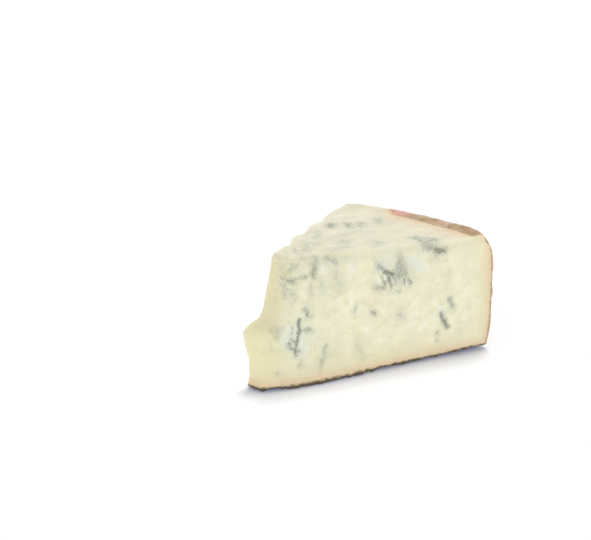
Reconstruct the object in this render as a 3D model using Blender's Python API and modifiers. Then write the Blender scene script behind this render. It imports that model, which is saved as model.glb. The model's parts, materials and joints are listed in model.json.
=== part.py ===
"""A wedge of soft blue-veined cheese, an eighth of a wheel that was halved across.

The wedge lies on the wheel's natural rind. Its top and its two long sides are cut paste, its
curved end is rind, and its nose is broken: a foot stands out at the bottom under a ledge.

Metres, +Z up. +X runs from the nose to the rind, -Y is the front cut, and the origin is on
the ground under the middle of the wedge. The design is drawn about the wheel's axis, which
an empty carries, and the empty is then moved so that the wedge stands over the origin.
"""
import math

import bmesh
import bpy
from mathutils import Vector

# The wheel: the curved end bulges, and falls in toward the cut on top and toward the ground
WHEEL_RADIUS = 0.1412
TOP_IN = 0.0022
TOP_DROP = 0.0400
SHOULDER_IN = 0.0042
SHOULDER_RISE = 0.0240
CURVE_POINTS = 8
WHEEL_STEPS = 144

# The cut across the wheel: its height over the wheel's axis, and its fall toward the rind
HEIGHT = 0.0690
TOP_FALL = 0.0205

# The two long cuts: how far from the wheel's axis the blade passed, and its angle from the
# wedge's middle, on the ground and at the top. The paste has slumped outward at the bottom.
FRONT_GROUND = (0.0078, math.radians(23.2))
FRONT_TOP = (0.0000, math.radians(24.7))
BACK_GROUND = (0.0054, math.radians(22.8))
BACK_TOP = (-0.0030, math.radians(23.4))
CUT_LEVELS = 2               # subdivision of a blade's sheet, which is slightly twisted

# The nose: the lines of its broken faces about the wheel's axis, front end first
FOOT_GROUND = ((-0.0034, -0.0096), (-0.0064, 0.0030))
FOOT_RIM = ((0.0040, -0.0075), (-0.0072, 0.0064))
NOSE_ROOT = ((0.0046, -0.0052), (0.0000, 0.0012))
NOSE_TOP = ((0.0078, -0.0036), (0.0064, -0.0018))
RIM_HEIGHT = 0.0316
ROOT_HEIGHT = 0.0380
FOOT_BURIED = 0.0080         # how far past the wheel's axis the foot ends, inside the wedge
FOOT_SIDES = (-0.0120, 0.0030)   # how far to the front and back of the axis it reaches there
FOOT_TOP = 0.0418            # how high the ledge has risen there

BLOCK_REACH = 0.220          # size of the blocks that stand for what was cut away
SPARE = 0.010                # how far they stand past the wheel above and below

EDGE_ROUND = 0.0010
EDGE_SEGMENTS = 2
SHARP_ANGLE = math.radians(30)


def clear_scene():
    """Empty the scene of the objects it starts with."""
    for item in list(bpy.data.objects):
        bpy.data.objects.remove(item, do_unlink=True)


def make_collection(name):
    """A new collection in the scene."""
    group = bpy.data.collections.new(name)
    bpy.context.scene.collection.children.link(group)
    return group


def add_object(name, mesh, group, parent):
    """A mesh object in a collection, carried by the wheel's axis."""
    item = bpy.data.objects.new(name, mesh)
    group.objects.link(item)
    item.parent = parent
    return item


def cheese_material():
    """Cut paste: pale cream, slightly moist."""
    material = bpy.data.materials.new("blue_cheese")
    material.use_nodes = True
    shader = material.node_tree.nodes["Principled BSDF"]
    shader.inputs["Base Color"].default_value = (0.80, 0.76, 0.56, 1.0)
    shader.inputs["Roughness"].default_value = 0.62
    shader.inputs["Metallic"].default_value = 0.0
    return material


def wheel_profile():
    """Half section of the wheel: from the top's middle, down its side, back to the axis.

    It runs past the cut across and past the ground, where level cuts then end it.
    """
    top = HEIGHT + SPARE
    points = [(0.0, top)]
    for step in range(CURVE_POINTS + 1):
        drop = step / CURVE_POINTS
        height = top + (HEIGHT - TOP_DROP - top) * drop
        points.append((WHEEL_RADIUS - TOP_IN * (1.0 - drop) ** 2, height))
    for step in range(CURVE_POINTS + 1):
        turn = 0.5 * math.pi * step / CURVE_POINTS
        inward = SHOULDER_IN * (1.0 - math.cos(turn))
        points.append((WHEEL_RADIUS - inward, SHOULDER_RISE * (1.0 - math.sin(turn))))
    points.append((WHEEL_RADIUS - SHOULDER_IN, -SPARE / 2))
    points.append((0.0, -SPARE / 2))
    return points


def add_wheel(group, parent):
    """The wheel, turned from its half section and not yet cut across."""
    mesh = bpy.data.meshes.new("cheese_wedge")
    points = [(radius, 0.0, height) for radius, height in wheel_profile()]
    edges = [(index, index + 1) for index in range(len(points) - 1)]
    mesh.from_pydata(points, edges, [])
    wheel = add_object("cheese_wedge", mesh, group, parent)
    screw = wheel.modifiers.new("turned", "SCREW")
    screw.axis = "Z"
    screw.angle = 2.0 * math.pi
    screw.steps = WHEEL_STEPS
    screw.render_steps = WHEEL_STEPS
    screw.use_merge_vertices = True
    screw.merge_threshold = 0.00001
    return wheel


def add_block(name, corner_at, group, parent):
    """A cutter: a cube whose eight corners are moved to corner_at(x, y, z), each -1 or 1."""
    shape = bmesh.new()
    bmesh.ops.create_cube(shape, size=2.0)
    for vertex in shape.verts:
        sides = [round(value) for value in vertex.co]
        vertex.co = corner_at(*sides)
    shape.normal_update()
    bmesh.ops.recalc_face_normals(shape, faces=shape.faces)
    mesh = bpy.data.meshes.new(name)
    shape.to_mesh(mesh)
    shape.free()
    block = add_object(name, mesh, group, parent)
    block.display_type = "WIRE"
    block.hide_render = True
    return block


def add_sheet_cut(name, low, high, outward, group, parent):
    """What lay beyond a cut: a block whose near side is the sheet that the cut left.

    low and high are lines along the cut, each two points, and the sheet is ruled between
    them. outward points from the wedge to what was cut away.
    """
    def corner_at(x, y, z):
        point = (low if z < 0 else high)[0 if x < 0 else 1]
        return point if y < 0 else point + outward

    block = add_block(name, corner_at, group, parent)
    sheet = block.modifiers.new("ruled_sheet", "SUBSURF")
    sheet.subdivision_type = "SIMPLE"
    sheet.levels = CUT_LEVELS
    sheet.render_levels = CUT_LEVELS
    return block


def ruled_lines(first, first_height, second, second_height, low_height, high_height):
    """Two lines of a ruled sheet, carried on to a lower and a higher height."""
    def line_at(height):
        share = (height - first_height) / (second_height - first_height)
        ends = [Vector(a).lerp(Vector(b), share) for a, b in zip(first, second)]
        return [Vector((end.x, end.y, height)) for end in ends]

    return line_at(low_height), line_at(high_height)


def add_long_cut(name, side, ground, top, group, parent):
    """The block beyond a long cut. side is -1 for the front and 1 for the back."""
    def plan_line(offset, angle):
        along = Vector((math.cos(angle), side * math.sin(angle))) * BLOCK_REACH
        beside = Vector((-math.sin(angle), side * math.cos(angle))) * offset
        return beside - along, beside + along

    low, high = ruled_lines(plan_line(*ground), 0.0, plan_line(*top), HEIGHT,
                            -SPARE, HEIGHT + 2 * SPARE)
    return add_sheet_cut(name, low, high, Vector((0.0, side * BLOCK_REACH, 0.0)), group, parent)


def widened(line, factor):
    """A short line carried on past both its ends."""
    front, back = Vector(line[0]), Vector(line[1])
    middle = (front + back) / 2
    return middle + (front - middle) * factor, middle + (back - middle) * factor


def add_nose_break(group, parent):
    """What broke off past the nose, which leans back as it rises from its root."""
    low, high = ruled_lines(widened(NOSE_ROOT, 4), ROOT_HEIGHT, widened(NOSE_TOP, 8), HEIGHT,
                            -SPARE, HEIGHT + 2 * SPARE)
    return add_sheet_cut("nose_break", low, high, Vector((-BLOCK_REACH, 0.0, 0.0)), group, parent)


def add_foot(group, parent):
    """The foot that stands out at the bottom of the nose, with the ledge as its top."""
    def corner_at(x, y, z):
        side = 0 if y < 0 else 1
        if x < 0:
            line, height = (FOOT_GROUND, -SPARE / 4) if z < 0 else (FOOT_RIM, RIM_HEIGHT)
            return Vector((*line[side], height))
        return Vector((FOOT_BURIED, FOOT_SIDES[side], -SPARE / 4 if z < 0 else FOOT_TOP))

    return add_block("nose_foot", corner_at, group, parent)


def add_top_cut(group, parent):
    """The wheel's other half, which lay above the cut across."""
    def corner_at(x, y, z):
        far = BLOCK_REACH
        height = HEIGHT + 4 * SPARE if z > 0 else HEIGHT - TOP_FALL * x * far
        return Vector((x * far, y * far, height))

    return add_block("top_cut", corner_at, group, parent)


def add_ground(group, parent):
    """The ground, which levels the underside."""
    def corner_at(x, y, z):
        return Vector((x * BLOCK_REACH, y * BLOCK_REACH, 0.0 if z > 0 else -2 * SPARE))

    return add_block("ground", corner_at, group, parent)


def combine(wedge, other, operation):
    """Take another shape from the wedge, or join it to the wedge."""
    step = wedge.modifiers.new(other.name, "BOOLEAN")
    step.operation = operation
    step.solver = "EXACT"
    step.object = other


def round_edges(wedge):
    """Ease every edge between two cuts, or between a cut and the rind."""
    bevel = wedge.modifiers.new("eased_edges", "BEVEL")
    bevel.limit_method = "ANGLE"
    bevel.angle_limit = SHARP_ANGLE
    bevel.width = EDGE_ROUND
    bevel.segments = EDGE_SEGMENTS


def stand_over_origin(axis, wedge):
    """Move the wheel's axis so that the wedge's lowest middle is at the origin."""
    bpy.context.view_layer.update()
    shape = wedge.evaluated_get(bpy.context.evaluated_depsgraph_get())
    corners = [shape.matrix_world @ Vector(corner) for corner in shape.bound_box]
    low = Vector(min(corner[side] for corner in corners) for side in range(3))
    high = Vector(max(corner[side] for corner in corners) for side in range(3))
    axis.location -= Vector(((low.x + high.x) / 2, (low.y + high.y) / 2, low.z))


def main():
    """Turn the wheel, cut the wedge from it, break its nose and ease its edges."""
    clear_scene()
    parts = make_collection("cheese_wedge")
    guides = make_collection("cutters")
    axis = bpy.data.objects.new("wheel_axis", None)
    parts.objects.link(axis)

    wedge = add_wheel(parts, axis)
    wedge.data.materials.append(cheese_material())
    front = add_long_cut("front_cut", -1, FRONT_GROUND, FRONT_TOP, guides, axis)
    back = add_long_cut("back_cut", 1, BACK_GROUND, BACK_TOP, guides, axis)
    combine(wedge, add_top_cut(guides, axis), "DIFFERENCE")
    combine(wedge, back, "DIFFERENCE")
    combine(wedge, add_nose_break(guides, axis), "DIFFERENCE")
    combine(wedge, add_foot(guides, axis), "UNION")
    combine(wedge, front, "DIFFERENCE")
    combine(wedge, add_ground(guides, axis), "DIFFERENCE")
    round_edges(wedge)
    stand_over_origin(axis, wedge)


main()
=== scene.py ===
"""The looks of a wedge of soft blue-veined cheese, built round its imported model.

Paste and rind are one closed surface: the skin of a block whose three shares run from the
nose to the curved end, from the front cut to the back cut, and from the ground to the top.
Metres, +Z up. Shapes are worked out about the wheel's axis and then moved to the model.
"""
import itertools
import json
import math
from types import SimpleNamespace

import bpy
import numpy as np
from mathutils import Matrix, Vector


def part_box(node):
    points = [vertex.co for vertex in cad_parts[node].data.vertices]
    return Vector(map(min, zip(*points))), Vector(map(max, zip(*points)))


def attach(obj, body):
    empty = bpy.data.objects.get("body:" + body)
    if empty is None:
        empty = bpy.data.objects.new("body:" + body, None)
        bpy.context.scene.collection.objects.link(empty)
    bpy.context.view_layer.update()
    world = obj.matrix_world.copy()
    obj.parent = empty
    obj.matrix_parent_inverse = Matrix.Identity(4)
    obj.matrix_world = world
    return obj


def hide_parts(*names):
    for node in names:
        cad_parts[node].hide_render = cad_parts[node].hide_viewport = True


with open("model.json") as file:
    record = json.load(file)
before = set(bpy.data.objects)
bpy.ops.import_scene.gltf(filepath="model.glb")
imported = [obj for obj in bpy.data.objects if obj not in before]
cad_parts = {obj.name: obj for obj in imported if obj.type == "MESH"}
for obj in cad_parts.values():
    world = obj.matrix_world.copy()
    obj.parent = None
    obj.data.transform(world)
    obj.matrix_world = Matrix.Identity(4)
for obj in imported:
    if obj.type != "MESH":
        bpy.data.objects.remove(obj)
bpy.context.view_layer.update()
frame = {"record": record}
NODE = "cheese_wedge"
NODE_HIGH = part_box(NODE)[1]
SLOT = frame["record"]["subparts"][0]["material_slot"]
MM = 0.001

# ---------------------------------------------------------------- the wheel and its cuts

# The wheel's height at the cut across, and how steeply that cut falls toward the rind
WHEEL_RADIUS = 141.2 * MM
HEIGHT = 69.0 * MM
TOP_FALL = 0.0205

# How far the curved end falls in at the top and on the ground, and over which height
TOP_IN = 2.2 * MM
TOP_DROP = 40 * MM
SHOULDER_IN = 4.2 * MM
SHOULDER_RISE = 24 * MM

# Where the wheel's axis stands, so that the curved end meets the model's
AXIS_ASIDE = 1.37 * MM
AXIS = np.array([NODE_HIGH[0] - WHEEL_RADIUS, AXIS_ASIDE])

# How far each cut passes from the wheel's axis, and its angle, on the ground and at the top
FRONT, BACK = -1, 1
CUTS = {
    FRONT: ((7.8 * MM, math.radians(23.2)), (0.0, math.radians(24.7))),
    BACK: ((5.4 * MM, math.radians(22.8)), (-3.0 * MM, math.radians(23.4))),
}

# The broken nose by height: how far along each cut it ends, and how far its foot bulges
# out of the back cut. The foot's rim is at 32 mm and the nose rises again from 38 mm.
NOSE_FRONT_HEIGHTS = np.array([0, 8, 17, 24, 33, 38, 48, 58, 69]) * MM
NOSE_FRONT_ENDS = np.array([-1.7, 0.0, 2.9, 6.0, 4.2, 6.0, 9.0, 9.3, 8.6]) * MM
NOSE_BACK_HEIGHTS = np.array([0, 8, 16, 24, 31.5, 36, 38.5, 43, 53, 69]) * MM
NOSE_BACK_ENDS = np.array([-4.7, -3.7, -3.2, -3.2, -3.7, -1.1, 0.5, 1.4, 2.9, 5.3]) * MM
NOSE_BULGE = np.array([0.2, 0.3, 1.5, 4.3, 6.4, 3.2, 0.0, -0.8, -1.1, -1.5]) * MM
BULGE_REACH = 9 * MM

# Rows of the block and its rough lengths: nose to curved end, front to back, ground to top.
# The first rows stand close together, so that an eased edge is round.
ROWS = (160, 100, 78)
LENGTHS = (134 * MM, 100 * MM, 69 * MM)
EDGE_ROWS = np.array([0, 0.25, 0.55, 0.9, 1.4]) * MM

NOISE_CELLS = 64             # after so many cells the noise repeats
NOISE_SHIFT = 1000           # keeps the cells' numbers above zero
NOISE_LAYERS = 3


def blend(low, high, share):
    """From low to high by a share."""
    return low + (high - low) * share


def soft_step(value, low, high):
    """0 below low and 1 above high, with the curve 3t^2 - 2t^3 between."""
    share = np.clip((value - low) / (high - low), 0, 1)
    return share * share * (3 - 2 * share)


def noise(points, size, seed):
    """A smooth random field from -1 to 1.

    Random values sit at the corners of cubes of that size, and between them they are
    blended along each axis with the curve 3t^2 - 2t^3.
    """
    table = np.random.default_rng(seed).uniform(-1, 1, (NOISE_CELLS,) * 3)
    grid = points / size + NOISE_SHIFT
    cell = np.floor(grid).astype(int)
    part = grid - cell
    part = part * part * (3 - 2 * part)
    total = np.zeros(len(points))
    for corner in itertools.product((0, 1), repeat=3):
        weight = np.prod(np.where(corner, part, 1 - part), axis=1)
        total += weight * table[tuple(((cell + corner) % NOISE_CELLS).T)]
    return total


def rough_noise(points, size, seed):
    """Noise with finer and weaker noise on top, each layer half the size and strength."""
    return sum(noise(points, size / 2**k, seed + k) / 2**k for k in range(NOISE_LAYERS))


def cut_line(height, side):
    """A long cut at each height: its distance from the wheel's axis, and its angle."""
    ground, top = CUTS[side]
    share = height / HEIGHT
    return blend(ground[0], top[0], share), blend(ground[1], top[1], share)


def on_cut(height, side, along):
    """The plan point that far along a long cut, from the place beside the wheel's axis."""
    offset, angle = cut_line(height, side)
    x = along * np.cos(angle) - offset * np.sin(angle)
    y = along * np.sin(angle) + offset * np.cos(angle)
    return np.stack([x, side * y], axis=-1)


def rind_radius(height):
    """The curved end's radius: it falls in as a square above, and as an ellipse below."""
    above = np.clip(1 - (HEIGHT - height) / TOP_DROP, 0, 1)
    below = np.clip(1 - height / SHOULDER_RISE, 0, 1)
    return WHEEL_RADIUS - TOP_IN * above**2 - SHOULDER_IN * (1 - np.sqrt(1 - below**2))


def wedge_point(a, b, c):
    """The block's point at shares a, b, c: a straight line at each height from the broken
    nose to the curved end, where b turns evenly from the front cut to the back cut. The
    nose's foot bulges out of the back cut and fades as exp(-(distance/reach)^2).
    """
    height = c * HEIGHT
    front_end = np.interp(height, NOSE_FRONT_HEIGHTS, NOSE_FRONT_ENDS)
    back_end = np.interp(height, NOSE_BACK_HEIGHTS, NOSE_BACK_ENDS)
    nose = blend(on_cut(height, FRONT, front_end), on_cut(height, BACK, back_end), b[:, None])

    radius = rind_radius(height)
    front_offset, front_angle = cut_line(height, FRONT)
    back_offset, back_angle = cut_line(height, BACK)
    front_turn = -front_angle - np.arcsin(front_offset / radius)
    back_turn = back_angle + np.arcsin(back_offset / radius)
    turn = blend(front_turn, back_turn, b)
    rind = radius[:, None] * np.stack([np.cos(turn), np.sin(turn)], axis=-1)

    plan = blend(nose, rind, a[:, None])
    bulge = np.interp(height, NOSE_BACK_HEIGHTS, NOSE_BULGE) * b
    bulge = bulge * np.exp(-(a * LENGTHS[0] / BULGE_REACH) ** 2)
    out = np.stack([-np.sin(back_angle), np.cos(back_angle)], axis=-1)
    plan = plan + bulge[:, None] * out
    z = c * (HEIGHT - TOP_FALL * plan[:, 0])
    return np.column_stack([plan, z])


def spaced(count, length):
    """Shares from 0 to 1: close rows beside both ends, and even steps between."""
    near = EDGE_ROWS / length
    middle = np.linspace(near[-1], 1 - near[-1], count)[1:-1]
    return np.concatenate([near, middle, 1 - near[::-1]])


def block_skin(counts):
    """The skin of a block of cells: three whole-number places for each skin point, and the
    quads. Each side is a grid of two places, and sides share the points along their edges.
    """
    sides = []
    for axis in range(3):
        first, second = (axis + 1) % 3, (axis + 2) % 3
        steps = np.arange(counts[first] + 1), np.arange(counts[second] + 1)
        one, two = np.meshgrid(*steps, indexing="ij")
        for end in (0, 1):
            grid = np.zeros(one.shape + (3,), int)
            grid[..., axis] = end * counts[axis]
            grid[..., first] = one
            grid[..., second] = two
            corners = [grid[:-1, :-1], grid[1:, :-1], grid[1:, 1:], grid[:-1, 1:]]
            corners = corners if end else corners[::-1]
            sides.append(np.stack(corners, axis=2).reshape(-1, 4, 3))
    corners = np.concatenate(sides)
    span = counts[0] + 1, counts[1] + 1
    keys = corners @ np.array([1, span[0], span[0] * span[1]])
    known, quads = np.unique(keys, return_inverse=True)
    places = np.column_stack([
        known % span[0], known // span[0] % span[1], known // (span[0] * span[1])])
    return places, quads.reshape(-1, 4)


def point_normals(points, quads):
    """Each point's outward direction: the sum of its quads' normals, by their areas."""
    corner = points[quads]
    facing = np.cross(corner[:, 2] - corner[:, 0], corner[:, 3] - corner[:, 1])
    total = np.zeros_like(points)
    for k in range(4):
        for axis in range(3):
            total[:, axis] += np.bincount(quads[:, k], facing[:, axis], len(points))
    return total / np.linalg.norm(total, axis=1, keepdims=True)


# ---------------------------------------------------------------- the mould

# The paste's foot: how high over the ground the paste starts, over the rind underneath
PASTE_FOOT = 1.8 * MM

# Veins in a cut face: two ends, half width, strength. On a long cut an end is the distance
# along it and the height over the paste's foot; on the top it is the plan place about the
# wheel's axis; all in mm. A few front strokes are painted shadow, under the big pocket and
# beside the nose's foot.
FRONT_VEINS_AND_SHADOWS = [
    # the big pocket under the top edge
    ((66.5, 56.5), (71, 54), 2.3, 0.65), ((70.5, 53.6), (75, 51.0), 1.6, 1.25),
    ((79, 61), (79.3, 57), 2.4, 0.60), ((79.2, 58), (79.5, 50), 2.8, 0.78),
    ((82.5, 56), (84, 49), 2.2, 0.65), ((75, 51), (83, 48.5), 3.6, 0.55),
    ((69, 50.5), (69.8, 48), 1.2, 0.85), ((72.5, 49.5), (74.5, 45.6), 1.0, 1.05),
    ((69.5, 47.5), (71, 45.5), 0.8, 0.95), ((77, 48.5), (77.5, 46.5), 1.1, 0.85),
    ((80, 47.5), (80.3, 45.5), 1.0, 0.6),
    ((82.5, 47), (83, 45), 1.2, 0.95), ((85.8, 47), (86.2, 45.4), 1.1, 0.95),
    # the second stroke here and the first on the next line are the pocket's painted shadow
    ((71, 47), (71.4, 45.4), 1.0, 0.6), ((64.5, 45.6), (70, 44.2), 1.7, 0.75),
    ((70, 43.8), (79, 42), 1.3, 0.5), ((83, 53), (88, 51), 1.2, 0.4),
    # across the top edge
    ((93, 66.6), (99, 64), 2.8, 0.80), ((97, 64.5), (102.5, 62.0), 2.8, 0.75),
    ((101.8, 61.8), (106.5, 60.6), 1.9, 1.2), ((103, 58.5), (104, 57), 1.5, 0.35),
    # toward the rind
    ((111.8, 32.5), (113.8, 27.5), 1.6, 0.85), ((106.8, 24.4), (108.4, 20.5), 1.6, 1.15),
    ((108, 20.8), (110.6, 17.3), 1.5, 1.2), ((103.5, 13.5), (104.5, 9.5), 1.4, 0.6),
    ((119, 12), (119.6, 11), 1.4, 0.35),
    # the pocket in the nose
    ((20.8, 34), (20.1, 27.5), 1.0, 1.30), ((20.1, 28), (19, 21.5), 0.9, 1.25),
    ((19, 22), (17.8, 14.8), 0.9, 1.0), ((16.4, 30.5), (16.3, 26.5), 0.9, 0.65),
    ((14.6, 25), (14.8, 20.5), 1.0, 0.95), ((16.3, 24.5), (18.5, 22), 1.0, 0.80),
    ((16, 19.5), (20, 17.8), 1.2, 0.9), ((23.2, 27.9), (24.4, 27.1), 1.2, 0.85),
    ((25.8, 28.2), (27.2, 27.2), 1.2, 0.75), ((24.4, 40), (24.6, 37), 1.2, 1.0),
    # the faint strokes from 7.6 to 9 mm along are painted shade beside the nose's foot
    ((24, 39.5), (25.6, 36), 2.0, 0.5), ((7.8, 32), (7.6, 28), 2.6, 0.15),
    ((7.6, 27), (9, 20), 1.9, 0.12), ((35, 17.5), (32.6, 11), 1.2, 0.6),
    ((32.6, 11.5), (30.2, 6.2), 1.7, 0.7), ((20, 11.8), (20, 9.6), 1.2, 0.5),
    ((7.2, 7.6), (7.8, 6.6), 1.6, 0.55),
    # high up toward the nose
    ((11.0, 57.0), (15.5, 55.4), 1.3, 0.65), ((15.2, 55.6), (18.8, 54.2), 1.8, 0.80),
    ((18.4, 56.1), (25.2, 56.3), 1.3, 0.65), ((13, 55.5), (13.4, 48.5), 2.4, 0.50),
    ((30.2, 66), (29.5, 61), 1.9, 0.70), ((29.5, 61.4), (29.4, 56.6), 1.9, 0.90),
    ((28.2, 52), (28.1, 47.2), 1.4, 0.42), ((37.2, 65), (40.8, 62.4), 2.6, 0.60),
    ((41, 57), (42.8, 49.5), 2.4, 0.45), ((17, 48), (17.5, 44), 2.2, 0.40),
    ((12, 63), (20, 61.5), 2.2, 0.42), ((22, 66), (27, 65), 1.8, 0.40),
    ((44, 62), (50, 61), 1.5, 0.30), ((33, 53), (36, 49), 1.8, 0.30),
    # single specks
    ((53.6, 37.4), (51.8, 33.8), 1.0, 0.6), ((63.4, 31.5), (64.4, 31), 1.3, 0.9),
    ((79.6, 28.2), (80.6, 27.2), 1.8, 0.6), ((53.7, 15), (55.6, 7), 1.6, 0.42),
]
TOP_VEINS = [
    ((93.5, -28), (92, -34), 2.8, 0.75), ((91.5, -34), (90, -39.5), 3.2, 0.80),
    ((90, -36), (97, -38.4), 3.2, 0.75), ((99, -33), (96, -37), 2.4, 0.55),
    ((76, 18.6), (81.5, 23.0), 3.0, 0.9), ((84, 10.8), (90, 17.5), 3.4, 0.75),
    ((91, 8.4), (96.6, 13), 2.8, 0.65),
    ((103, 4.4), (112, 11.6), 3.4, 0.6), ((55, -8), (62, -4), 3.0, 0.5),
    ((31, -3), (39, 4), 2.6, 0.5), ((66, -22), (73, -17), 2.6, 0.35),
    ((50, 8), (62, 15), 2.2, 0.45), ((70, 2), (84, 2), 2.2, 0.35),
    ((40, -12), (52, -14), 1.8, 0.45),
]

# Broad patches: middle, reach, strength. Pale ground, lilac-grey stain and white curd, with
# the middle as for the veins; on the nose it is the share from front to back and the height.
# Some stain patches are painted shade, under the ledge of the nose's foot and beside it.
FRONT_PALE = [
    ((71, 60), 9, 1.2), ((88, 56), 10, 1.2), ((78, 46), 10, 0.9), ((20, 25), 12, 1.2),
    ((30, 24), 8, 0.7), ((14, 30), 6, 0.7), ((34, 46), 9, 0.5), ((107, 24), 7, 0.45),
    ((97, 62), 6, 0.5),
]
FRONT_LILAC = [
    ((79, 50.5), 7, 1.0), ((99.5, 64), 6, 1.0), ((20, 60.5), 8, 0.8), ((17, 22), 6, 0.9),
    # the first patch here is painted shade beside the nose's foot
    ((8.6, 29.5), 6, 0.90), ((14, 52), 7, 0.75), ((74, 12), 7, 0.4), ((112, 24), 9, 0.35),
    ((29, 60), 6, 0.6), ((62, 47), 7, 0.5), ((39, 62), 5, 0.6), ((9, 21), 6, 0.5),
    ((80, 42), 7, 0.5), ((53, 12), 6, 0.4), ((33, 12), 5, 0.4), ((70, 45), 6, 0.55),
]
FRONT_CURD = [
    ((15, 65), 6, 0.9), ((41, 57), 6, 0.8), ((51, 60.5), 7, 1.0), ((34, 46), 6, 0.8),
    ((23, 46), 5, 0.8), ((67, 49), 6, 0.8), ((86, 60), 6, 0.8), ((64, 33), 9, 0.6),
    ((48, 30), 9, 0.5), ((95, 56), 7, 0.6), ((23, 18), 4, 0.9), ((15, 21), 3, 1.0),
    ((15.5, 27), 6, 2.0),
]
NOSE_LILAC = [
    # the first two patches are painted shade under the ledge at the rim of the nose's foot
    ((0.4, 30.5), 4, 0.9), ((0.8, 29), 3, 0.5), ((0.7, 19), 5, 0.5), ((0.9, 4), 5, 0.7),
    ((0.1, 24), 5, 0.5), ((0.5, 48), 6, 0.5),
]
TOP_LILAC = [
    ((98, -34), 9, 0.9), ((59, -6), 12, 0.7), ((44, 2), 10, 0.6), ((72, -20), 11, 0.6),
    ((28, -3), 9, 0.8), ((82, 18), 9, 0.5), ((18, 2), 7, 0.8), ((60, 14), 8, 0.5),
    ((78, -4), 9, 0.4), ((14, -4), 6, 0.6),
]

# How veins and patches waver: the size of the noise's lumps, and how far they move a point
VEIN_WAVER = ((4.2 * MM, 0.7 * MM), (1.7 * MM, 0.5 * MM))
PATCH_WAVER = ((9 * MM, 4.0 * MM), (4.0 * MM, 2.0 * MM))
WAVER_SEED = 50

# The back cut's mould, in mm: pockets of short strokes in a row, and single specks
BACK_SEED = 41
BACK_POCKETS = 6
BACK_SPECKS = 18
STROKE_SPREAD = 5            # how far the strokes start from a pocket's middle
STROKE_SPAN = (2, 4)         # how far a stroke runs, along the cut and up
SPECK_SPAN = 1.2
POCKET_PATCH = (10, 0.9)     # a pocket's patches: reach and strength
STAIN_SHARE = 0.6            # how wide its stain and its curd are, against its pale ground
CURD_SHARE = 0.5


def distance_to_line(points, start, end):
    """Each point's distance to the straight stretch from start to end."""
    line = end - start
    share = np.clip((points - start) @ line / max(line @ line, 1e-12), 0, 1)
    return np.linalg.norm(points - start - share[:, None] * line, axis=1)


def cut_place(side, along, height):
    """The point on a long cut that far along it and that high over the paste's foot, in mm."""
    height = height * MM + PASTE_FOOT
    plan = on_cut(height, side, along * MM)
    return np.array([plan[0], plan[1], height])


def front_place(along, height):
    """The point on the front cut."""
    return cut_place(FRONT, along, height)


def back_place(along, height):
    """The point on the back cut."""
    return cut_place(BACK, along, height)


def top_place(x, y):
    """The point on the top at that plan place, in mm."""
    return np.array([x * MM, y * MM, HEIGHT - TOP_FALL * x * MM])


def nose_place(share, height):
    """The point on the broken nose at that share from front to back, and that high, in mm."""
    height = (height * MM + PASTE_FOOT) / HEIGHT
    return wedge_point(np.array([0.0]), np.array([share]), np.array([height]))[0]


def placed(veins, place):
    """Veins with their ends as points, in metres."""
    return [(place(*start), place(*end), width * MM, strength)
            for start, end, width, strength in veins]


def spotted(patches, place, share=1.0):
    """Patches with their middles as points, in metres, and a share of their reach."""
    return [(place(*middle), share * reach * MM, strength)
            for middle, reach, strength in patches]


def seeded_veins(seed):
    """Veins for the back cut: pockets in a row along it, each of six to nine short strokes,
    and single specks anywhere; and the pockets' patches.
    """
    rng = np.random.default_rng(seed)
    veins = []
    pockets = np.column_stack([
        np.linspace(22, 118, BACK_POCKETS), rng.uniform(12, 56, BACK_POCKETS)])
    for middle in pockets:
        for _ in range(rng.integers(6, 10)):
            start = middle + rng.normal(0, 1, 2) * STROKE_SPREAD
            end = start + rng.normal(0, 1, 2) * STROKE_SPAN
            veins.append((tuple(start), tuple(end), rng.uniform(0.8, 1.6),
                          rng.uniform(0.6, 1.1)))
    specks = np.column_stack([
        rng.uniform(12, 130, BACK_SPECKS), rng.uniform(5, 63, BACK_SPECKS)])
    for start in specks:
        end = start + rng.normal(0, SPECK_SPAN, 2)
        veins.append((tuple(start), tuple(end), rng.uniform(0.8, 1.2), rng.uniform(0.5, 0.9)))
    return veins, [(tuple(middle), *POCKET_PATCH) for middle in pockets]


def wavering(points, layers):
    """Points moved by noise: each layer is the size of its lumps and how far they move."""
    for k, (size, reach) in enumerate(layers):
        waver = [noise(points, size, WAVER_SEED + 3 * k + axis) for axis in range(3)]
        points = points + reach * np.stack(waver, axis=-1)
    return points


def vein_field(points, veins):
    """How deep in a vein each point is: the vein's strength on its line, less in proportion
    to the distance from it, half of it at the half width and below zero past the full width.
    The lines waver by noise.
    """
    points = wavering(points, VEIN_WAVER)
    field = np.full(len(points), -1.0)
    for start, end, width, strength in veins:
        near = strength * (1 - 0.5 * distance_to_line(points, start, end) / width)
        field = np.maximum(field, near)
    return field


def patch_field(points, patches):
    """The strongest of the patches at each point; each fades as exp(-2 (distance/reach)^2)."""
    points = wavering(points, PATCH_WAVER)
    field = np.zeros(len(points))
    for middle, reach, strength in patches:
        distance = np.linalg.norm(points - middle, axis=1)
        field = np.maximum(field, strength * np.exp(-2 * (distance / reach) ** 2))
    return field


def mould_fields(points):
    """The veins, the pale ground round them, the lilac-grey stain and the white curd, over
    all faces; some strokes and stain patches are painted shade and shadow.
    """
    back_veins, back_pockets = seeded_veins(BACK_SEED)
    veins = placed(FRONT_VEINS_AND_SHADOWS, front_place) + placed(TOP_VEINS, top_place)
    veins += placed(back_veins, back_place)
    pale = spotted(FRONT_PALE, front_place) + spotted(back_pockets, back_place)
    lilac = spotted(FRONT_LILAC, front_place) + spotted(TOP_LILAC, top_place)
    lilac += spotted(back_pockets, back_place, STAIN_SHARE) + spotted(NOSE_LILAC, nose_place)
    curd = spotted(FRONT_CURD, front_place) + spotted(back_pockets, back_place, CURD_SHARE)
    return vein_field(points, veins), *(patch_field(points, p) for p in (pale, lilac, curd))


# ---------------------------------------------------------------- the cheese's surface

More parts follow.
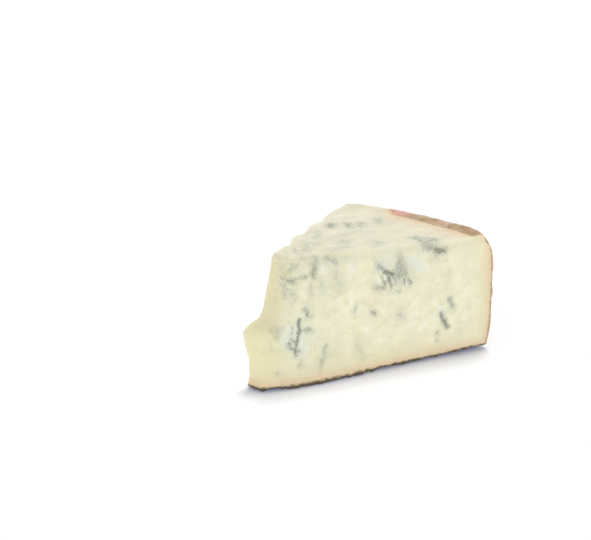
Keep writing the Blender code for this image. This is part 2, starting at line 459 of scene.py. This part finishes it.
# How round the edges are: all of them, and what is added at the front corner of the top and
# the rind, along the rest of the rind's top edge, at its far end, along the top's front edge
# and up the nose's front edge
EDGE_ROUND = 0.7 * MM
FRONT_CORNER_ROUND = 4.4 * MM
RIND_TOP_ROUND = 1.0 * MM
BACK_CORNER_ROUND = 3.0 * MM
TOP_FRONT_ROUND = 2.0 * MM
NOSE_ROUND = 1.6 * MM

# The back cut's top edge crumbled in steps: places along the cut, and how deep each is
CRUMBLE_ALONG = np.array([0, 14, 22, 30, 36, 47, 50, 57, 66, 76, 79, 86, 95, 116, 120, 134]) * MM
CRUMBLE_DEPTH = np.array([0, 0, 2.2, 1.6, -1, -1, 1.4, 0, -1, -1, 1.6, 1.2, -0.6, 0, 0, 0]) * MM
CHIP_DEPTH = 1.2 * MM        # chips in the top's front edge near the nose
LEAST_WIDTH = 6 * MM         # the width that wear is worked out for at the nose, at least

# The underside is smaller than the wedge: its edge turns in under the cut faces, most under
# the front cut
TUCK_DEPTH = 4.8 * MM
TUCK_HEIGHT = 2.6 * MM
FRONT_TUCK = 1.6             # times as deep there

# The top: terraces toward the nose, flakes left standing beside the back cut there, between
# two distances from the nose, and the rind's raised rim, at the front cut and past it
TERRACE_STEP = 0.7 * MM
TERRACE_DEPTH = 0.9 * MM
TERRACE_DEEPEST = 1.2 * MM
FLAKE_HEIGHT = 1.5 * MM
FLAKE_ENDS = (24 * MM, 62 * MM)
RIM_HEIGHTS = (2.6 * MM, 1.2 * MM)
RIM_ENDS = (10 * MM, 3 * MM)

# The rind's band on the top: turns about the axis, and how wide the band is there. Near the
# front cut it ends, and past the far turns it is a grey line.
BAND_TURNS = np.radians([-26, -20, -10, 0, 3.5, 5.5, 7.5, 9, 26])
BAND_WIDTHS = np.array([10, 10.5, 12.5, 12.5, 11.5, 10, 5, 1.0, 0.8]) * MM
BAND_LOSS = 10 * MM
BAND_FRONT_END = (2.5 * MM, 6.5 * MM)
FAR_TURNS = (math.radians(7.5), math.radians(10))
ROSY_TURN = math.radians(3.9)
ROSY_SPREAD = math.radians(3.0)

# The rind's line down the cuts' ends, its line along the ground, how far the rind's field
# reaches outside and inside its bands, in mm, and the heights over which the rind's foot is
# painted near-black: partly the rind's darker underside, mostly painted shade under the tuck
SIDE_BAND = 1.6 * MM
GROUND_BAND = 2.9 * MM
RIND_REACH = (-18, 13)
PAINTED_SHADE_HEIGHTS = (2.3 * MM, 3.5 * MM)

# The front cut's foot slumped outward, and its corner by the rind lifts off the ground
BOW = 2.6                    # in mm
CORNER_LIFT = 1.0 * MM
LIFT_PLACES = (92 * MM, 112 * MM)
MIDDLE_WIDTH = 80 * MM       # the wedge's width beyond its middle, for distances on the top


def eased(shares, lengths, radius):
    """Round the block's edges to a radius.

    Where a point is within a radius of two or three sides, the part of it that lies in the
    edge's square is drawn in to the edge's quarter circle.
    """
    room = [np.maximum(radius - np.minimum(s, 1 - s) * size, 0)
            for s, size in zip(shares, lengths)]
    reach = np.maximum(np.sqrt(sum(r * r for r in room)), 1e-9)
    pull = 1 - np.minimum(radius / reach, 1)
    return [s + np.where(s < 0.5, 1, -1) * r * pull / size
            for s, r, size in zip(shares, room, lengths)]


def tucked(share, inward, length):
    """Draw a share in from both of its ends by a depth."""
    return 0.5 + (share - 0.5) * (1 - 2 * np.minimum(inward / length, 0.25))


def edge_radius(points, shares, across):
    """How round the edges are at each point: the plain radius and what each worn edge adds,
    faded in by the shares and uneven by noise, but at most three tenths of the width.
    """
    a, b, c = shares
    at_rind = soft_step(c, 0.84, 1.0) * soft_step(a, 0.86, 0.98)
    at_top = soft_step(c, 0.8, 1.0) * (1 - b)
    at_nose = (1 - soft_step(a, 0.0, 0.05)) * (1 - soft_step(b, 0.1, 0.3))
    radius = EDGE_ROUND + 0.3 * MM * noise(points, 9 * MM, 5)
    radius += at_rind * blend(FRONT_CORNER_ROUND, RIND_TOP_ROUND, soft_step(b, 0.0, 0.20))
    radius += at_rind * BACK_CORNER_ROUND * soft_step(b, 0.9, 1.0)
    radius += at_top * (TOP_FRONT_ROUND + 1.2 * MM * noise(points, 10 * MM, 8))
    radius += at_nose * NOSE_ROUND
    return np.minimum(radius, 0.3 * across)


def tuck_depth(points, c):
    """How far the underside's edge turns in: a quarter ellipse, uneven by noise."""
    below = 1 - np.clip(c * HEIGHT / TUCK_HEIGHT, 0, 1)
    depth = TUCK_DEPTH * (1 - np.sqrt(1 - below**2))
    return depth * (0.75 + 0.35 * rough_noise(points, 9 * MM, 6))


def crumble_depth(points, c, place):
    """How deep the back cut's top edge crumbled at a place along the cut: its steps and
    noise, faded in toward the top.
    """
    depth = np.interp(place, CRUMBLE_ALONG, CRUMBLE_DEPTH)
    depth = depth + 0.7 * MM * rough_noise(points, 5 * MM, 7)
    return depth * soft_step(c, 0.72, 0.97)


def chip_depth(points, a, c):
    """How deep the chips in the top's front edge are: the upper part of a noise."""
    chips = soft_step(rough_noise(points, 6 * MM, 11), 0.1, 0.7)
    return CHIP_DEPTH * chips * soft_step(c, 0.93, 1.0) * (1 - soft_step(a, 0.15, 0.5))


def top_rise(points, a, b, along):
    """How far the top stands over the cut across, or below zero how far it broke away.

    Toward the nose it steps down in terraces, which are a noise rounded to whole steps, and
    beside the back cut there it stands up in flakes. Along the rind it rises in a rim.
    """
    steps = 2.2 * noise(points * (0.5, 1.0, 1.0), 12 * MM, 17) + b * 2
    terrace = (np.floor(steps) + soft_step(steps % 1, 0.55, 0.95)) * TERRACE_STEP
    broken = (1 - soft_step(a, 0.25, 0.75)) * blend(0.4, 1.0, b)
    drop = broken * np.clip(TERRACE_DEPTH - terrace * 0.6, 0, TERRACE_DEEPEST)
    flakes = (1 - soft_step(a * along, *FLAKE_ENDS)) * soft_step(b, 0.35, 0.85)
    rise = flakes * (FLAKE_HEIGHT + 0.9 * MM * rough_noise(points, 6 * MM, 18))
    rim = soft_step(a * along, along - RIM_ENDS[0], along - RIM_ENDS[1])
    rim = rim * soft_step(b, -0.02, 0.10)
    rise = rise + rim * blend(*RIM_HEIGHTS, soft_step(b, 0.1, 0.35))
    return rise - drop


def worn(shares):
    """The block's shares after wear: eased edges, a tucked-in underside, a crumbled back
    edge, chips in the front edge near the nose, and an uneven top.
    """
    a, b, c = shares
    ones, none = np.ones_like(a), np.zeros_like(a)
    points = wedge_point(a, b, c)
    along = np.linalg.norm(wedge_point(ones, b, c) - wedge_point(none, b, c), axis=1)
    across = np.linalg.norm(wedge_point(a, ones, c) - wedge_point(a, none, c), axis=1)
    across = np.maximum(across, LEAST_WIDTH)
    a, b, c = eased(shares, (along, across, HEIGHT), edge_radius(points, shares, across))

    turn_in = tuck_depth(points, c)
    a = tucked(a, turn_in, along)
    b = tucked(b, turn_in * blend(FRONT_TUCK, 1.0, b), across)
    b = b - b**3 * np.minimum(crumble_depth(points, c, a * along) / across, 0.35)
    b = b + (1 - b) ** 3 * np.minimum(chip_depth(points, a, c) / across, 0.3)
    c = c + c**6 * top_rise(points, a, b, along) / HEIGHT
    return a, b, c


def rind_field(points, shares):
    """How far inside the rind each point is, in mm, how rosy the rind is there, and how far
    along the top's grey line.

    The rind is a band along the top's curved edge, a line down the cuts' curved ends and a
    line along the ground; outside a band the field is the distance to it, below zero. The
    rosy patch fades to both sides as exp(-(turn/spread)^2), and down the rind.
    """
    a, b, c = shares
    from_end = WHEEL_RADIUS - np.linalg.norm(points[:, :2], axis=1)
    turn = np.arctan2(points[:, 1], points[:, 0])
    on_top = soft_step(c, 0.95, 0.98)
    width = blend(SIDE_BAND, np.interp(turn, BAND_TURNS, BAND_WIDTHS), on_top)
    width = width - BAND_LOSS * on_top * (1 - soft_step(b * LENGTHS[1], *BAND_FRONT_END))
    inside = width - np.minimum(from_end, (1 - a) * LENGTHS[0])
    inside = np.where(inside < 0, inside * blend(1.0, 0.5, on_top), inside)
    inside = np.maximum(inside, GROUND_BAND - c * HEIGHT) / MM
    rosy = np.exp(-((turn - ROSY_TURN) / ROSY_SPREAD) ** 2)
    rosy = rosy * soft_step(points[:, 2], 0.80 * HEIGHT, 0.94 * HEIGHT)
    rosy = rosy * (0.85 + 0.35 * rough_noise(points, 6 * MM, 36))
    return np.clip(inside, *RIND_REACH), rosy, on_top * soft_step(turn, *FAR_TURNS)


def paste_dents(points, shares, on_top):
    """The cut paste's dents, in mm: broad and small noise, thin level layers, and crumb that
    is rougher toward the nose and on the top.
    """
    a, _, c = shares
    crumbly = (1 - soft_step(a, 0.1, 0.55)) * blend(0.45, 1.0, soft_step(c, 0.4, 0.9))
    dent = 0.30 * noise(points, 24 * MM, 21) + 0.22 * noise(points, 8 * MM, 22)
    dent += 0.14 * rough_noise(points * (0.35, 0.35, 1.0), 2.8 * MM, 23)
    dent += 0.34 * crumbly * rough_noise(points, 3.6 * MM, 24)
    return dent + 0.16 * on_top * rough_noise(points, 3.0 * MM, 27)


def surface_rise(points, shares, on_top, dent, crust, mould):
    """How far each point moves out along its normal, in mm: dents on the paste and bumps on
    the rind, pits at the veins, the front cut's bowed foot, and flakes torn at the ground.
    """
    a, b, c = shares
    pit = soft_step(mould, 0.35, 0.95) * (0.75 + 0.5 * noise(points, 2 * MM, 26))
    rise = blend(dent, 0.34 * rough_noise(points, 5 * MM, 25), crust) - 0.9 * pit
    rise = rise - 0.2 * (1 - on_top)
    bow = soft_step(a, 0.0, 0.2) * (1 - soft_step(a, 0.25, 0.6)) * (1 - soft_step(c, 0.05, 0.3))
    rise = rise + BOW * bow * (1 - soft_step(b, 0.1, 0.5))
    flake = soft_step(noise(points, 3.2 * MM, 31), -0.1, 0.5)
    flake = flake * (1 - soft_step(c * HEIGHT, 2.2 * MM, 4.0 * MM))
    return rise + 0.7 * flake * soft_step(a, 0.02, 0.08) * (1 - soft_step(a, 0.93, 0.99))


def cheese_surface():
    """The cheese's points and quads, and the fields that its material reads.

    The worn block's skin is moved along its normals, its bottom stays flat on the ground,
    and the front corner by the rind is lifted a little.
    """
    rows = [spaced(count, length) for count, length in zip(ROWS, LENGTHS)]
    places, quads = block_skin([len(row) - 1 for row in rows])
    shares = [row[place] for row, place in zip(rows, places.T)]
    points = wedge_point(*worn(shares))
    a, b, c = shares

    rind, rosy, far = rind_field(points, shares)
    mould, pale, lilac, curd = mould_fields(points)
    on_top = soft_step(c, 0.985, 1.0)
    dent = paste_dents(points, shares, on_top)
    crust = soft_step(rind, -0.5, 0.5)
    rise = surface_rise(points, shares, on_top, dent, crust, mould)
    moved = points + point_normals(points, quads) * rise[:, None] * MM
    moved[:, 2] = np.where(c <= 0, 0, np.maximum(moved[:, 2], 0))
    lift = soft_step(points[:, 0], *LIFT_PLACES) * (1 - soft_step(b, 0.05, 0.4))
    moved[:, 2] += CORNER_LIFT * lift * (1 - soft_step(c, 0.0, 0.3))
    moved[:, :2] += AXIS

    # painted shade: the paste is darkened near the top's front edge, to dull the extra light on
    # its rounding
    from_edge = np.hypot(b * MIDDLE_WIDTH, (1 - c) * HEIGHT)
    from_edge = from_edge + 1.5 * MM * rough_noise(points, 8 * MM, 35)
    from_nose = a + 0.03 * noise(points, 7 * MM, 33)
    fields = {
        "mould": mould, "pale": pale, "lilac": lilac, "curd": curd, "dent": dent,
        "rind": rind, "rosy": rosy, "far": far,
        # painted shade along the foot, where the tucked-in underside is in shadow
        "low": 1 - soft_step(c * HEIGHT, *PAINTED_SHADE_HEIGHTS),
        "nose": 1 - soft_step(from_nose, 0.0, 0.09),
        "foot": 1 - soft_step(points[:, 2], 24 * MM, 34 * MM),
        "top": on_top * soft_step(b, 0.0, 0.10),
        "edge": 1 - soft_step(from_edge, 1.5 * MM, 6.0 * MM)}
    return moved, quads, fields


def mesh_from(name, points, quads, fields):
    """A smooth-shaded mesh object with one float attribute for each field."""
    mesh = bpy.data.meshes.new(name)
    mesh.from_pydata(points.tolist(), [], quads.tolist())
    for field, values in fields.items():
        attribute = mesh.attributes.new(field, "FLOAT", "POINT")
        attribute.data.foreach_set("value", values.astype(np.float32))
    mesh.shade_smooth()
    item = bpy.data.objects.new(name, mesh)
    bpy.context.scene.collection.objects.link(item)
    return item


# ---------------------------------------------------------------- materials

class Field:
    """A shader value: an arithmetic operation on it adds the Math node that does it."""

    def __init__(self, maker, socket):
        self.maker = maker
        self.socket = socket

    def __add__(self, other):
        return self.maker.math("ADD", self, other)

    def __sub__(self, other):
        return self.maker.math("SUBTRACT", self, other)

    def __mul__(self, other):
        return self.maker.math("MULTIPLY", self, other)

    def __rsub__(self, other):
        return self.maker.math("SUBTRACT", other, self)

    __radd__ = __add__
    __rmul__ = __mul__


class Maker:
    """Adds nodes to the node tree of a material or a world, and joins them."""

    def __init__(self, owner, shader):
        owner.use_nodes = True
        self.owner = owner
        self.tree = owner.node_tree
        self.shader = self.tree.nodes[shader]

    def join(self, value, socket):
        """Give a socket a value, or a link if the value is another node's."""
        if isinstance(value, Field):
            self.tree.links.new(value.socket, socket)
        else:
            socket.default_value = value

    def add(self, kind, settings, values, output=0):
        """A node of that kind: its settings, then its sockets by name or number."""
        node = self.tree.nodes.new("ShaderNode" + kind)
        for name, setting in settings.items():
            setattr(node, name, setting)
        for name, value in values.items():
            self.join(value, node.inputs[name])
        return Field(self, node.outputs[output])

    def math(self, operation, first, second):
        """One operation on two numbers or values."""
        return self.add("Math", {"operation": operation}, {0: first, 1: second})

    def field(self, name):
        """An attribute of the mesh."""
        return self.add("Attribute", {"attribute_name": name}, {}, "Fac")

    def grain(self, place, size, detail, roughness=0.55):
        """Noise from about 0 to 1 with lumps of that size and finer ones on top."""
        values = {"Vector": place, "Scale": 1 / size, "Detail": detail, "Roughness": roughness}
        return self.add("TexNoise", {}, values)

    def step(self, value, low, high):
        """0 at low and 1 at high, eased between."""
        values = {"Value": value, "From Min": low, "From Max": high}
        return self.add("MapRange", {"interpolation_type": "SMOOTHSTEP"}, values)

    def mix(self, share, first, second):
        """From one colour to another by a share."""
        values = {0: share, 6: colour(first), 7: colour(second)}
        return self.add("Mix", {"data_type": "RGBA"}, values, 2)

    def shifted(self, place, shift, scale=(1.0, 1.0, 1.0)):
        """A place moved and stretched, for a pattern of its own."""
        return self.add("Mapping", {}, {"Vector": place, "Location": shift, "Scale": scale})

    def finish(self, sockets):
        """Join the shader's own sockets."""
        for name, value in sockets.items():
            self.join(value, self.shader.inputs[name])
        return self.owner


def colour(value):
    """A colour with its fourth number, or a link as it is."""
    return value if isinstance(value, Field) else (*value, 1.0)


def new_material(name):
    """The maker of a new material."""
    return Maker(bpy.data.materials.new(name), "Principled BSDF")


# The paste: its grounds, its curd and hollows, and its tints at the nose and on the top.
# The hollow tone is partly painted shade: in sunk dents and along the top's front edge.
CREAM = (0.855, 0.822, 0.600)
BEIGE = (0.835, 0.785, 0.590)
SAGE = (0.74, 0.725, 0.495)
CURD = (0.90, 0.885, 0.730)
# darker paste, partly painted shade in sunk dents and along the top's front edge
HOLLOW_AND_SHADE = (0.72, 0.695, 0.500)
NOSE_CREAM = (0.74, 0.665, 0.395)
FOOT_CREAM = (0.83, 0.765, 0.455)
# the top's greyer beige, partly painted shade: darker against the stronger light falling on the
# top
TOP_CREAM_AND_SHADE = (0.74, 0.685, 0.540)
TOP_GREY = (0.60, 0.580, 0.460)
YELLOWED = (0.80, 0.740, 0.480)

# The mould, and the ground and stains round it
PALE_GROUND = (0.76, 0.800, 0.690)
LILAC_STAIN_AND_SHADE = (0.51, 0.495, 0.440)
# olive for stains on the nose and for the painted shade under its foot's ledge
FOOT_OLIVE = (0.52, 0.500, 0.320)
MOULD_HAZE = (0.58, 0.590, 0.455)
MOULD_LIGHT = (0.38, 0.392, 0.295)
MOULD_DARK = (0.20, 0.208, 0.148)
MOULD_WHITE = (0.84, 0.860, 0.800)

# The rind, and the paste's warm tints beside it
PEACH = (0.76, 0.620, 0.400)
ORANGE = (0.74, 0.490, 0.270)
BARK_LIGHT = (0.54, 0.385, 0.230)
BARK_DARK = (0.38, 0.260, 0.150)
BARK_OLIVE = (0.27, 0.225, 0.140)
BARK_ROSY = (0.78, 0.390, 0.340)
BARK_MAUVE = (0.58, 0.500, 0.420)
BARK_DUSTY = (0.68, 0.570, 0.420)
# painted shade: near-black at the rind's foot, for the shadow under the tucked-in underside
PAINTED_FOOT_SHADE = (0.055, 0.045, 0.028)

# The mesh's attributes, by name
FIELDS = ("mould", "pale", "lilac", "curd", "dent", "rind", "rosy", "far", "low", "nose",
          "foot", "top", "edge")


def cheese_looks(make):
    """What the cheese's colours are mixed by: its fields, and its grains from broad patches
    to fine specks.
    """
    place = make.add("TexCoord", {}, {}, "Object")
    drifting = make.shifted(place, (0.6, 0.2, 0.4), (1.0, 1.0, 1.6))
    streaking = make.shifted(place, (0.2, 0.8, 0.3), (0.6, 1.3, 1.3))
    return SimpleNamespace(
        **{name: make.field(name) for name in FIELDS},
        broad=make.grain(place, 20 * MM, 1.0),
        streak=make.grain(streaking, 10 * MM, 4.0, 0.6),
        drift=make.grain(drifting, 7.5 * MM, 3.0, 0.6),
        patch=make.grain(place, 6 * MM, 3.0),
        crumb=make.grain(make.shifted(place, (0.3, 0.1, 0.7)), 3 * MM, 3.0),
        flaw=make.grain(make.shifted(place, (0.9, 0.5, 0.2)), 1.7 * MM, 3.0, 0.6),
        speck=make.grain(place, 1.1 * MM, 4.0, 0.7))


def paste_colour(make, look):
    """Cream paste with curd and hollows, yellower at the nose and greyer on the top. Painted
    light and shade: raised dents paler, sunk dents darker, darker along the top's front edge,
    and the top partly darker as shade.
    """
    # painted light and shade: the dents shift the mottle, so raised paste is paler and sunk
    # paste darker
    lumps_and_dent_shading = look.patch + look.dent * 0.12
    curd = look.curd + (look.patch - 0.5) * 1.2
    nose = make.mix(look.foot, NOSE_CREAM, FOOT_CREAM)
    paste = make.mix(make.step(look.broad, 0.38, 0.62), CREAM, BEIGE)
    paste = make.mix(make.step(look.drift, 0.50, 0.68) * 0.70, paste, SAGE)
    paste = make.mix(make.step(lumps_and_dent_shading, 0.50, 0.70) * 0.62, paste, CURD)
    paste = make.mix(make.step(lumps_and_dent_shading, 0.47, 0.28) * (0.42 + 0.35 * look.top), paste, HOLLOW_AND_SHADE)
    paste = make.mix(make.step(look.crumb, 0.58, 0.74) * 0.22, paste, HOLLOW_AND_SHADE)
    paste = make.mix(make.step(curd, 0.25, 0.85) * 0.7, paste, CURD)
    paste = make.mix(look.nose * 0.75, paste, nose)
    # the top's tint, partly painted shade against the stronger light on the top
    paste = make.mix(look.top * 0.75, paste, TOP_CREAM_AND_SHADE)
    paste = make.mix(make.step(look.streak, 0.50, 0.68) * look.top * 0.42, paste, TOP_GREY)
    paste = make.mix(make.step(look.streak, 0.46, 0.32) * look.top * 0.35, paste, CURD)
    # painted shade along the top's front edge, to dull the extra light on its rounding
    return make.mix(look.edge * make.step(look.patch, 0.30, 0.62) * 0.55, paste, HOLLOW_AND_SHADE)


def moulded(make, look, paste):
    """The paste with its mould: pale ground, haze and stain, then the veins and the white
    bloom in them. Some stain and some vein strokes are painted shade and shadow.
    """
    ground = look.pale + (look.patch + look.crumb - 1.0) * 1.1
    haze = look.mould + (look.crumb - 0.5) * 0.7
    stain = look.lilac + (look.crumb - 0.5) * 1.1
    vein = look.mould + (look.speck - 0.5) * 1.2 + (look.flaw - 0.5) * 0.9
    vein = vein + (look.crumb - 0.5) * 0.6
    bloom = make.step(look.flaw + look.curd * 0.06, 0.58, 0.68) * make.step(look.mould, 0.0, 0.4)
    # the stain tint also colours the painted shade at the nose's foot
    stain_and_shade_tint = make.mix(look.nose, LILAC_STAIN_AND_SHADE, FOOT_OLIVE)
    vein_tint = make.mix(make.step(vein, 0.65, 1.25), MOULD_LIGHT, MOULD_DARK)
    body = make.mix(make.step(ground, 0.0, 1.2) * 0.8, paste, PALE_GROUND)
    body = make.mix(make.step(haze, -0.4, 0.8) * 0.6, body, MOULD_HAZE)
    body = make.mix(make.step(stain, 0.30, 0.95) * 0.65, body, stain_and_shade_tint)
    body = make.mix(make.step(vein, 0.20, 0.95) * 0.90, body, vein_tint)
    return make.mix(bloom * 0.8, body, MOULD_WHITE)


def warmed(make, look, body):
    """The paste yellowed, then peach, then orange toward the rind."""
    near = 1.0 - look.far * 0.8
    glow = make.step(look.rind + (look.patch - 0.5) * 6.0 + look.top * 1.5, -10.0, 1.0)
    warm = make.step(look.rind + (look.patch - 0.5) * 4.0, -4.0, 1.0)
    yellow = make.step(look.rind, -18.0, -3.0) * (1.0 - look.top)
    body = make.mix(yellow * 0.35, body, YELLOWED)
    body = make.mix(glow * near * 0.62, body, PEACH)
    return make.mix(warm * near * (0.35 + 0.35 * look.top), body, ORANGE)


def bark_colour(make, look):
    """Tan rind, mottled rosy, olive and dusty, mauve at the top's edge, and painted near-black
    at its foot: partly the rind's darker underside, mostly painted shade under the tuck.
    """
    dust = look.crumb + (look.broad - 0.5) * 0.8
    mauve = make.step(look.rind + (look.patch - 0.5) * 4.0, 6.0, 9.5) * look.top
    bark = make.mix(make.step(look.patch, 0.32, 0.70), BARK_DARK, BARK_LIGHT)
    bark = make.mix(make.step(look.broad, 0.55, 0.70) * 0.25, bark, BARK_ROSY)
    bark = make.mix(make.step(look.flaw, 0.55, 0.70) * 0.45, bark, BARK_OLIVE)
    bark = make.mix(make.step(look.speck, 0.56, 0.70) * 0.45, bark, BARK_OLIVE)
    bark = make.mix(make.step(dust, 0.54, 0.74) * 0.45, bark, BARK_DUSTY)
    bark = make.mix(mauve * 0.6, bark, BARK_MAUVE)
    bark = make.mix(look.far * 0.85, bark, BARK_MAUVE)
    bark = make.mix(look.rosy * 0.9, bark, BARK_ROSY)
    # painted shade along the rind's foot
    return make.mix(look.low * 0.9, bark, PAINTED_FOOT_SHADE)


def cheese_material():
    """Moist paste and dull rind, parted where the rind's field passes zero."""
    make = new_material(SLOT)
    look = cheese_looks(make)
    crust = make.step(look.rind + (look.flaw - 0.5) * 2.4, -0.5, 0.6)
    body = warmed(make, look, moulded(make, look, paste_colour(make, look)))
    height = look.speck * (0.30 + 0.7 * crust) + look.flaw * 0.45 + look.crumb * 0.9
    height = height + look.patch * 0.8
    bump = make.add("Bump", {}, {"Strength": 0.45, "Distance": 0.8 * MM, "Height": height})
    return make.finish({
        "Base Color": make.mix(crust * 0.94, body, bark_colour(make, look)),
        "Roughness": 0.58 + 0.12 * look.patch + 0.12 * crust, "Normal": bump,
        "Subsurface Weight": 0.2, "Subsurface Scale": 3 * MM,
        "Subsurface Radius": (1.0, 0.8, 0.45), "Specular IOR Level": 0.3})


# ---------------------------------------------------------------- the studio

CAMERA_AZIMUTH = -47.0
CAMERA_ELEVATION = 19.1
CAMERA_ROLL = 0.5
CAMERA_DISTANCE = 0.38
CAMERA_LENS = 44.5
CAMERA_AIM = (-40.4 * MM, 1.4 * MM, 57.8 * MM)
CAMERA_NEAR = 10 * MM        # what is nearer than this isn't drawn

FLOOR_REACH = 40.0
FLOOR_WHITE = (0.955, 0.945, 0.90)
FLOOR_GLOW = (0.02, 0.035, 0.10)

WALL_LIGHT = 1.65
ROOF_LIGHT = 0.50
ROOF_HEIGHTS = (0.25, 0.50)  # how steeply up the walls' light ends and the roof's is full
LAMP_WAY = (0.26, 0.12, 0.96)
LAMP_SPREAD = math.radians(16)
LAMP_POWER = 1.35


def camera_turn():
    """The camera's right, up and back directions as a matrix, from its three angles."""
    azimuth, elevation = math.radians(CAMERA_AZIMUTH), math.radians(CAMERA_ELEVATION)
    level = math.cos(elevation)
    back = Vector((math.sin(azimuth) * level, -math.cos(azimuth) * level, math.sin(elevation)))
    right = Vector((math.cos(azimuth), math.sin(azimuth), 0.0))
    up = back.cross(right)
    turn = Matrix((right, up, back)).transposed()
    return turn @ Matrix.Rotation(math.radians(CAMERA_ROLL), 3, "Z")


def add_camera():
    """The camera, at its distance from the point it aims at."""
    camera = bpy.data.objects.new("camera", bpy.data.cameras.new("camera"))
    camera.data.lens = CAMERA_LENS
    camera.data.clip_start = CAMERA_NEAR
    turn = camera_turn()
    spot = Vector(CAMERA_AIM) + turn.col[2] * CAMERA_DISTANCE
    camera.matrix_world = Matrix.Translation(spot) @ turn.to_4x4()
    bpy.context.scene.collection.objects.link(camera)
    bpy.context.scene.camera = camera


def add_floor():
    """A wide white floor that glows a little, so that it stays white away from the object."""
    mesh = bpy.data.meshes.new("floor")
    corners = [(-1, -1, 0), (1, -1, 0), (1, 1, 0), (-1, 1, 0)]
    corners = [[FLOOR_REACH * side for side in corner] for corner in corners]
    mesh.from_pydata(corners, [], [(0, 1, 2, 3)])
    floor = bpy.data.objects.new("floor", mesh)
    bpy.context.scene.collection.objects.link(floor)
    mesh.materials.append(new_material("white_floor").finish({
        "Base Color": (*FLOOR_WHITE, 1.0), "Roughness": 0.9, "Specular IOR Level": 0.0,
        "Emission Color": (*FLOOR_GLOW, 1.0), "Emission Strength": 1.0}))


def add_lights():
    """A white room, brighter round its walls than overhead, and one broad soft lamp high up
    behind the object.
    """
    world = bpy.data.worlds.new("white_room")
    make = Maker(world, "Background")
    way = make.add("TexCoord", {}, {}, "Generated")
    height = make.add("SeparateXYZ", {}, {"Vector": way}, "Z")
    dimmed = make.step(height, *ROOF_HEIGHTS) * (WALL_LIGHT - ROOF_LIGHT)
    make.finish({"Color": (1.0, 1.0, 1.0, 1.0), "Strength": WALL_LIGHT - dimmed})
    bpy.context.scene.world = world
    lamp = bpy.data.objects.new("lamp", bpy.data.lights.new("lamp", "SUN"))
    lamp.data.angle = LAMP_SPREAD
    lamp.data.energy = LAMP_POWER
    lamp.matrix_world = Vector(LAMP_WAY).to_track_quat("Z", "Y").to_matrix().to_4x4()
    bpy.context.scene.collection.objects.link(lamp)
    bpy.context.scene.view_settings.view_transform = "Standard"


def add_cheese():
    """The finished cheese, which stands for the model's one node."""
    points, quads, fields = cheese_surface()
    cheese = mesh_from("cheese", points, quads, fields)
    cheese.data.materials.append(cheese_material())
    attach(cheese, "root")
    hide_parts(NODE)


add_camera()
add_cheese()
add_floor()
add_lights()
